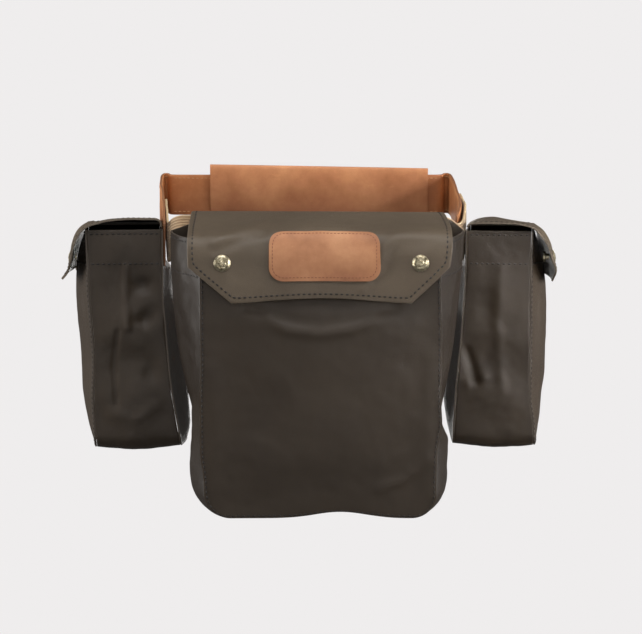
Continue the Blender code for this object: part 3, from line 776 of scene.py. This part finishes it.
rightFlap = {
    "lines": [
        (0.8, 0.4, -60, 60, 0, 0, 0, 0),
        (2.5, 3.2, -61, 61, 0, 0, 2.2, 0),
        (10, 4.8, -62, 62, 0, 3, 4.6, 0),
        (24, 5, -62, 62, 0, 5, 5, 0),
        (44, 4.8, -62, 62, 0, 2, 4.8, 0),
        (57, 3.2, -62, 62, 0, 0.5, 3.2, 0),
        (65.5, 0.2, -62, 62, -1, 0, 1, 0.5),
        (73.5, -8, -62, 62, -3, 0, 0, 5.2),
        (79.5, -18, -62, 62, -2.5, 0, 0, 11),
        (83, -30, -61, 61, -1, 0, 0, 14),
        (86.5, -41, -46, 46, 0, 0, -2, 13.5),
        (83, -52, -32, 32, 0, 0, -4, 9.5),
    ],
    "farRight": True,
    "lip": 3.2,
    "marks": [],
    "stitchFrom": 1.5,
}

flapCloth = {
    "wall": 1.8, "round": 0.5, "rumple": (0.8, 40), "fadeLines": 3,
    "chamferLines": 4,  # how many of the last lines are the chamfer's, from its corner on
    "farInPower": 3, "farDownPower": 1.5,
    "lipFrom": 0.96,  # where the curl of the far edge starts, as a share of the flap's width
}


def flapSurface(flap):
    places = np.arange(len(flap["lines"]))
    corner = len(places) - flapCloth["chamferLines"]
    columns = list(zip(*flap["lines"]))
    fine = np.linspace(0, len(places) - 1, 2000)
    outs, heights = (smoothCurve(fine, places, column) for column in columns[:2])
    length = np.concatenate([[0], np.cumsum(np.hypot(np.diff(outs), np.diff(heights)))])
    along = np.interp(np.linspace(0, length[-1], int(length[-1] / gridStep) + 1), length, fine)
    along[np.argmin(np.abs(along - corner))] = corner  # a row at the chamfer's corner
    values = (smoothCurve(along, places, column)[:, None] for column in columns)
    out, z, left, right, inward, up, down, farIn = values
    straight = (along > corner)[:, None]
    left = np.where(straight, np.interp(along, places, columns[2])[:, None], left)
    right = np.where(straight, np.interp(along, places, columns[3])[:, None], right)
    part = np.linspace(0, 1, int((right - left).max() / gridStep) + 1)
    middle = bellyShape(part)
    far = part if flap["farRight"] else 1 - part
    x = left * (1 - part) + right * part
    y = -(out - inward * middle - farIn * far ** flapCloth["farInPower"])
    lipFrom = flapCloth["lipFrom"]
    curl = np.clip((far - lipFrom) / (1 - lipFrom), 0, 1) ** 2 * flap.get("lip", 0)
    height = z + up * middle - down * far ** flapCloth["farDownPower"] - curl
    return np.stack([x, y, height], axis=2), along


def flapSpot(surface, x, z):
    # row and column of the hanging leaf at x and z
    middle = surface[:, surface.shape[1] // 2, 2]
    top = int(np.argmax(middle))
    row = top + float(np.interp(-z, -middle[top:], np.arange(len(middle) - top)))
    line = sampledRow(surface, row)
    column = float(np.interp(x, line[:, 0], np.arange(len(line))))
    return row, column


def sampledRow(surface, row):
    r = min(int(row), surface.shape[0] - 2)
    return surface[r] * (1 - (row - r)) + surface[r + 1] * (row - r)


edgeRow = {
    "inset": 4.6, "pitch": 4.85, "stitch": (3.1, 1.7, 1.1),
    "chamferInset": 7.3,  # the same inset, measured straight across a chamfer
}


def edgeStitches(surface, along, flap):
    # rows and columns down one side, along both chamfers and the lower edge, and up the other side
    last = surface.shape[0] - 1
    corner = int(np.searchsorted(along, along[-1] + 1 - flapCloth["chamferLines"])) + 2
    low = last - edgeRow["inset"] / gridStep
    rows = list(np.arange(np.searchsorted(along, flap["stitchFrom"]), low)) + [low]
    sides = []
    for edge, hand in ((0, 1), (-1, -1)):
        xs = surface[:, edge, 0]
        slope = (xs[last] - xs[corner]) / (last - corner)
        spots = []
        for row in rows:
            line = sampledRow(surface, row)
            side = line[edge, 0] + hand * edgeRow["inset"]
            slanted = xs[last] + slope * (row - last) + hand * edgeRow["chamferInset"]
            x = max(side, slanted) if hand > 0 else min(side, slanted)
            spots.append((row, float(np.interp(x, line[:, 0], np.arange(len(line))))))
        sides.append(spots)
    return sides[0] + sides[1][::-1]


def flatSize(surface):
    # what the flap was cut to, in metres and square metres
    across = np.diff(surface, axis=1)
    down = np.diff(surface, axis=0)
    width = np.linalg.norm(across, axis=2).sum(1).max() * mm
    length = np.linalg.norm(down, axis=2).sum(0).max() * mm
    area = np.linalg.norm(np.cross(across[:-1], down[:, :-1]), axis=2).sum() * mm * mm
    return (float(width), float(length)), float(area)


def buildFlap(prefix, flap, seed, place, node):
    own = flapCloth
    surface, along = flapSurface(flap)
    fade = np.clip((along - flap["stitchFrom"]) / own["fadeLines"], 0, 1)[:, None]
    creases = marked(surface[..., 0], surface[..., 2], flap["marks"])
    relief = (rumple(surface, *own["rumple"], seed) + creases) * fade
    surface = surface + outward(surface) * relief[..., None]
    world = moved(surface, place)
    piece = clothSheet(prefix + "Flap", world, own["wall"], [paintedLightFlapCanvas, flapEdgePaintedLight], round=own["round"])
    finishPiece(piece, [node])
    flat, area = flatSize(surface)
    row = evenPath(world, edgeStitches(surface, along, flap), edgeRow["pitch"])
    stitches(prefix + "FlapStitching", [row], darkThread, edgeRow["stitch"])
    sides = [round(side * 1000) for side in flat]
    print("flap", prefix, "cut to", sides, "mm,", round(area, 4), "square metres")
    return surface


mainFlapSurface = buildFlap("main", mainFlap, 21, Matrix.Identity(4), "main_flap")
leftFlapSurface = buildFlap("left", leftFlap, 25, hangPlace(leftPouch), "left_flap")
rightFlapSurface = buildFlap("right", rightFlap, 29, hangPlace(rightPouch), "right_flap")


# the leather patch

patch = {
    "left": -42, "right": 59.4,
    "top": 10.5, "bottom": 15.35,  # places along the flap, counted in its lines
    "corner": 14, "wall": 1.4, "stand": 0.25, "round": 0.5,
    "rows": 34, "columns": 60,
    "rowIn": 3.3, "pitch": 3.3, "stitch": (2.4, 0.75, 0.6),
}


def cornerInset(edge, radius):
    # how far a rounded corner lies inside the side, at this distance from the end
    return radius - math.sqrt(max(radius**2 - max(radius - edge, 0) ** 2, 0))


def buildPatch():
    along = flapSurface(mainFlap)[1]
    surface = mainFlapSurface
    normals = outward(surface)
    rows, columns = patch["rows"], patch["columns"]
    startRow, endRow = np.interp((patch["top"], patch["bottom"]), along, np.arange(len(along)))
    tall = (endRow - startRow) * gridStep
    reaches = [(1 - math.cos(math.pi * j / rows)) / 2 for j in range(rows + 1)]
    edges = [min(reach, 1 - reach) * tall for reach in reaches]  # how far the nearer end is
    grid = np.zeros((rows + 1, columns + 1, 3))
    for j in range(rows + 1):
        row = startRow + (endRow - startRow) * reaches[j]
        inset = cornerInset(edges[j], patch["corner"])
        line = sampledRow(surface, row)
        for k in range(columns + 1):
            part = k / columns
            x = (patch["left"] + inset) * (1 - part) + (patch["right"] - inset) * part
            column = float(np.interp(x, line[:, 0], np.arange(len(line))))
            way = sampled(normals, row, column)
            grid[j, k] = sampled(surface, row, column) + way * (patch["wall"] + patch["stand"])
    piece = clothSheet("flapPatch", grid, patch["wall"], [patchLeather, leatherEdge], round=patch["round"])
    finishPiece(piece, ["flap_patch"])

    # its stitches, a little inside the edge
    rowIn = patch["rowIn"]
    rim = [j for j in range(1, rows) if edges[j] > rowIn]
    path = []
    for side, order in (("left", rim), ("right", rim[::-1])):
        for j in order:
            inset = rowIn + cornerInset(edges[j] - rowIn, patch["corner"] - rowIn)
            x = patch[side] + (inset if side == "left" else -inset)
            path.append((j, float(np.interp(x, grid[j, :, 0], np.arange(columns + 1)))))
    path.append(path[0])
    row = evenPath(grid, path, patch["pitch"])
    stitches("patchStitching", [row], patchThread, patch["stitch"])
    print("patch")


buildPatch()


# snaps

snap = {
    "radius": 7.8, "dome": 3.3, "turns": 48, "stand": 0.1,
    # from the middle of the dome round to its back, in shares of the radius and of the dome
    "profile": [(0, 1), (0.16, 0.99), (0.3, 0.95), (0.42, 0.9), (0.46, 0.80), (0.50, 0.86), (0.62, 0.78),
                (0.74, 0.66), (0.84, 0.52), (0.88, 0.42), (0.93, 0.42), (0.98, 0.30), (1, 0.16), (0.97, 0),
                (0, 0)],
    # rings of raised ovals: how many, turned by how many of them, shares of radius and dome, size
    "rings": [(8, 0, 0.25, 0.95, (1.014, 0.546, 0.5)), (24, 0.5, 0.68, 0.70, (0.6, 0.34, 0.42))],
}


def buildSnap(name, node, surface, x, z, place):
    row, column = flapSpot(surface, x, z)
    point = Vector(sampled(surface, row, column))
    way = Vector(sampled(outward(surface), row, column))
    net = bmesh.new()
    r, h = snap["radius"], snap["dome"]
    verts = [net.verts.new((out * r, 0, up * h)) for out, up in snap["profile"]]
    edges = [net.edges.new(pair) for pair in zip(verts, verts[1:])]
    bmesh.ops.spin(net, geom=verts + edges, cent=(0, 0, 0), axis=(0, 0, 1), angle=2 * math.pi,
                   steps=snap["turns"], use_merge=True)
    bmesh.ops.remove_doubles(net, verts=net.verts, dist=1e-4)
    bmesh.ops.recalc_face_normals(net, faces=net.faces)
    for count, offset, out, up, size in snap["rings"]:
        for k in range(count):
            angle = 2 * math.pi * (k + offset) / count
            here = Matrix.Rotation(angle, 4, "Z") @ Matrix.Translation((out * r, 0, up * h))
            here = here @ Matrix.Diagonal(size + (1,))
            bmesh.ops.create_uvsphere(net, u_segments=8, v_segments=6, radius=1, matrix=here)
    for face in net.faces:
        face.smooth = True
    turn = Vector((0, 0, 1)).rotation_difference(way).to_matrix().to_4x4()
    put = Matrix.Scale(mm, 4) @ place @ Matrix.Translation(point + way * snap["stand"]) @ turn
    bmesh.ops.transform(net, matrix=put, verts=net.verts)
    finishPiece(meshPiece(name, net, [brass]), [node])


snapPlaces = [
    # piece, node, flap, x and z on it, pouch
    ("snapCap_left", "snap_cap_left", mainFlapSurface, -84.3, -20.5, mainPouch),
    ("snapCap_right", "snap_cap_right", mainFlapSurface, 96.0, -20.5, mainPouch),
    ("leftPouchCap", "left_pouch_cap", leftFlapSurface, 0, -30, leftPouch),
    ("rightPouchCap", "right_pouch_cap", rightFlapSurface, 0, -30, rightPouch),
]
for name, node, surface, x, z, pouch in snapPlaces:
    buildSnap(name, node, surface, x, z, hangPlace(pouch))
for node in ("snap_stud_left", "snap_stud_right", "left_pouch_stud", "right_pouch_stud"):
    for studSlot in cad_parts[node].material_slots:
        studSlot.material = brass
print("snaps")


# the belt

belt = {
    "middle": 1.5, "rise": 0.07, "step": 1.3,
    "strapHeight": 41, "strapWall": 2.2, "strapRows": 16, "strapRumple": (0.35, 30), "strapRound": 0.6,
    "webbingHeight": 38, "webbingWall": 2.2, "webbingRows": 14, "webbingRumple": (0.3, 25),
    "webbingRound": 0.7,
    "rowIn": 1.35, "pitch": 4.4, "stitch": (3.2, 0.85, 0.7),  # rowIn is counted in the strap's rows
    # x, y and how much lower the belt lies there; the strap swings out behind at both far corners
    "strapRoute": [
        (-142.8, -80, 14), (-145, -50, 4), (-147.3, -20, 0), (-149.2, 5, 0), (-151.3, 27, 0), (-154.4, 54, 0),
        (-155.4, 80, 0), (-155.8, 95, 0), (-155.2, 105, 0), (-152.8, 110.6, 0), (-150, 109.6, 0),
        (-148.6, 105.6, 0), (-146, 102.6, 0), (-138, 101.6, 0), (-118, 101.3, 0), (-60, 101.8, 0),
        (0, 102, 0), (60, 101.8, 0), (112, 101.2, 0), (121.5, 101.3, 0), (127, 102.4, 0),
        (129.6, 105.4, 0), (130.8, 109.4, 0), (133.6, 110.8, 0), (136.4, 106, 0), (137.6, 96, 0),
        (138.2, 82, 0), (138.6, 60, 0), (139, 35, 0), (139.2, 10, 0), (139.4, -15, 0), (139.2, -40, 0),
        (137.6, -62, 2), (133.5, -80, 7),
    ],
    "webbingRoute": [
        (-144.4, -20, 0), (-142.1, -50, 4), (-139.2, -76, 12), (-133, -91, 4.5), (-124, -99.5, 0.5),
        (-112, -102.3, 0), (0, -102.4, 0), (115, -102.3, 0), (127, -99.5, 4), (135, -92, 10),
        (139.6, -80, 9), (142.3, -62, 3), (143.8, -45, 0), (142.4, -15, 0), (141.8, 8, 0),
    ],
}


def routePoints(route, step):
    xs, ys, drops = np.array(route, float).T
    lengths = np.concatenate([[0], np.cumsum(np.hypot(np.diff(xs), np.diff(ys)))])
    where = np.linspace(0, lengths[-1], int(lengths[-1] / step))
    return (smoothCurve(where, lengths, values) for values in (xs, ys, drops))


def bandSurface(route, height, rows):
    xs, ys, drops = routePoints(route, belt["step"])
    middle = belt["middle"] + belt["rise"] * ys - drops
    reach = np.linspace(0.5, -0.5, rows + 1)[:, None] * height
    wide = (rows + 1, len(xs))
    return np.stack([np.broadcast_to(xs, wide), np.broadcast_to(ys, wide), middle + reach], axis=2)


def buildBelt():
    strap = bandSurface(belt["strapRoute"], belt["strapHeight"], belt["strapRows"])
    strap = strap + outward(strap) * rumple(strap, *belt["strapRumple"], 41)[..., None]
    wall = belt["strapWall"]
    piece = clothSheet("beltStrap", strap, wall, [beltLeather, leatherEdge], side=0, round=belt["strapRound"])
    finishPiece(piece, ["belt_strap"])
    rows = []
    last = strap.shape[1] - 1
    for side in (-1, 1):
        for row in (belt["rowIn"], belt["strapRows"] - belt["rowIn"]):
            points, ways = evenPath(strap, [(row, 1), (row, last - 1)], belt["pitch"])
            rows.append((points + ways * side * wall / 2, ways * side))
    stitches("strapStitching", rows, tanThread, belt["stitch"])

    webbing = bandSurface(belt["webbingRoute"], belt["webbingHeight"], belt["webbingRows"])
    webbing = webbing + outward(webbing) * rumple(webbing, *belt["webbingRumple"], 43)[..., None]
    piece = clothSheet("beltWebbing", webbing, belt["webbingWall"], [cotton, cottonEdge], side=0,
                       round=belt["webbingRound"])
    finishPiece(piece, ["belt_webbing"])
    print("belt")


sleeve = {
    "left": -107, "right": 114, "halfHeight": 29, "halfDepth": 3.7, "wall": 2.0, "drop": 0.018,
    "power": 0.4, "round": 0.5, "columns": 90, "around": 96,
    "runFrom": 95, "runReach": 120, "runStep": 0.5,  # where the strap's far run is
}


def buildSleeve():
    xs, ys, _ = routePoints(belt["strapRoute"], sleeve["runStep"])
    far = (ys > sleeve["runFrom"]) & (np.abs(xs) < sleeve["runReach"])
    order = np.argsort(xs[far])
    x = np.linspace(sleeve["left"], sleeve["right"], sleeve["columns"])
    y = np.interp(x, xs[far][order], ys[far][order])
    middle = belt["middle"] + belt["rise"] * y - sleeve["drop"] * x
    angle = np.linspace(0, 2 * math.pi, sleeve["around"] + 1)[:, None]
    out = sleeve["halfDepth"] * np.sign(np.sin(angle)) * np.abs(np.sin(angle)) ** sleeve["power"]
    up = sleeve["halfHeight"] * np.sign(np.cos(angle)) * np.abs(np.cos(angle)) ** sleeve["power"]
    surface = np.stack(np.broadcast_arrays(x, y - out, middle + up), axis=2)
    piece = clothSheet("beltSleeve", surface, sleeve["wall"], [sleeveLeather, leatherEdge],
                       closed=True, round=sleeve["round"])
    finishPiece(piece, ["belt_sleeve"])
    print("sleeve")


buildBelt()
buildSleeve()


# floor, light and camera

studio = {
    "floorDrop": -0.62, "floorSize": 60,
    "pale": tone(239, 237, 237),
    "room": 0.12, "roomColour": (1, 0.985, 0.97, 1),
    "lightColour": (1, 0.98, 0.96),
    "lights": [
        # name, place, what it points at, size, watts, spread in degrees
        ("overhead", (0, -0.6, 1.7), (0, -0.1, 0), (1.7, 1.3), 26, 180),
        ("leftSide", (-1.9, -0.3, 0.1), (0, 0, -0.08), (1.0, 1.2), 40, 180),
        ("rightSide", (1.9, -0.35, 0.1), (0, 0, -0.08), (1.0, 1.2), 50, 180),
        ("front", (0.25, -2.7, 0.9), (0, 0, -0.03), (1.1, 0.8), 10, 180),
        ("frontLow", (0.1, -2.5, -0.8), (0, 0, -0.15), (1.4, 0.4), 5, 180),
        ("back", (0, 2.0, -0.35), (0, 0.05, -0.12), (0.5, 0.8), 6, 180),
        ("rightFront", (1.2, -1.6, 0.3), (0.2, -0.08, -0.08), (0.25, 0.25), 0.15, 14),
    ],
    # the camera: its place, how far it looks down, and its focal length in pixels of the picture's width
    "eye": (0.0055, -2.4269, 0.3056), "lookDown": 9.5, "focalPixels": 2500, "widthPixels": 642,
    "sensor": 36, "clipEnd": 200,
}


def paleSurface(name, colour):
    material = bpy.data.materials.new(name)
    material.use_nodes = True
    tree = material.node_tree
    tree.nodes.clear()
    glow = Wire(tree, None).make("ShaderNodeEmission", Color=colour, Strength=1.0)
    out = tree.nodes.new("ShaderNodeOutputMaterial")
    tree.links.new(glow.socket, out.inputs["Surface"])
    return material


def buildStudio():
    net = bmesh.new()
    bmesh.ops.create_grid(net, x_segments=1, y_segments=1, size=studio["floorSize"])
    bmesh.ops.translate(net, vec=(0, 0, studio["floorDrop"]), verts=net.verts)
    floor = meshPiece("floor", net, [paleSurface("paleFloor", studio["pale"])])
    floor.visible_diffuse = False
    floor.visible_glossy = False
    floor.visible_shadow = False
    world = bpy.data.worlds.new("room")
    scene.world = world
    world.use_nodes = True
    tree = world.node_tree
    tree.nodes.clear()
    wire = Wire(tree, None)
    seen = wire.make("ShaderNodeBackground", Color=studio["pale"], Strength=1.0)
    felt = wire.make("ShaderNodeBackground", Color=studio["roomColour"], Strength=studio["room"])
    toCamera = wire.make("ShaderNodeLightPath", output=0)
    mix = wire.make("ShaderNodeMixShader", s0=toCamera, s1=felt, s2=seen)
    out = tree.nodes.new("ShaderNodeOutputWorld")
    tree.links.new(mix.socket, out.inputs["Surface"])


def softLight(name, place, target, size, power, spread):
    light = bpy.data.lights.new(name, "AREA")
    light.shape = "RECTANGLE"
    light.size, light.size_y = size
    light.energy = power
    light.spread = math.radians(spread)
    light.color = studio["lightColour"]
    lamp = bpy.data.objects.new(name, light)
    scene.collection.objects.link(lamp)
    lamp.location = place
    lamp.rotation_euler = (Vector(target) - Vector(place)).to_track_quat("-Z", "Y").to_euler()


buildStudio()
for light in studio["lights"]:
    softLight(*light)

cameraData = bpy.data.cameras.new("camera")
cameraData.sensor_width = studio["sensor"]
cameraData.lens = studio["focalPixels"] / studio["widthPixels"] * studio["sensor"]
cameraData.clip_end = studio["clipEnd"]
camera = bpy.data.objects.new("camera", cameraData)
scene.collection.objects.link(camera)
camera.location = studio["eye"]
camera.rotation_euler = (math.radians(90 - studio["lookDown"]), 0, 0)
scene.camera = camera
print("studio")
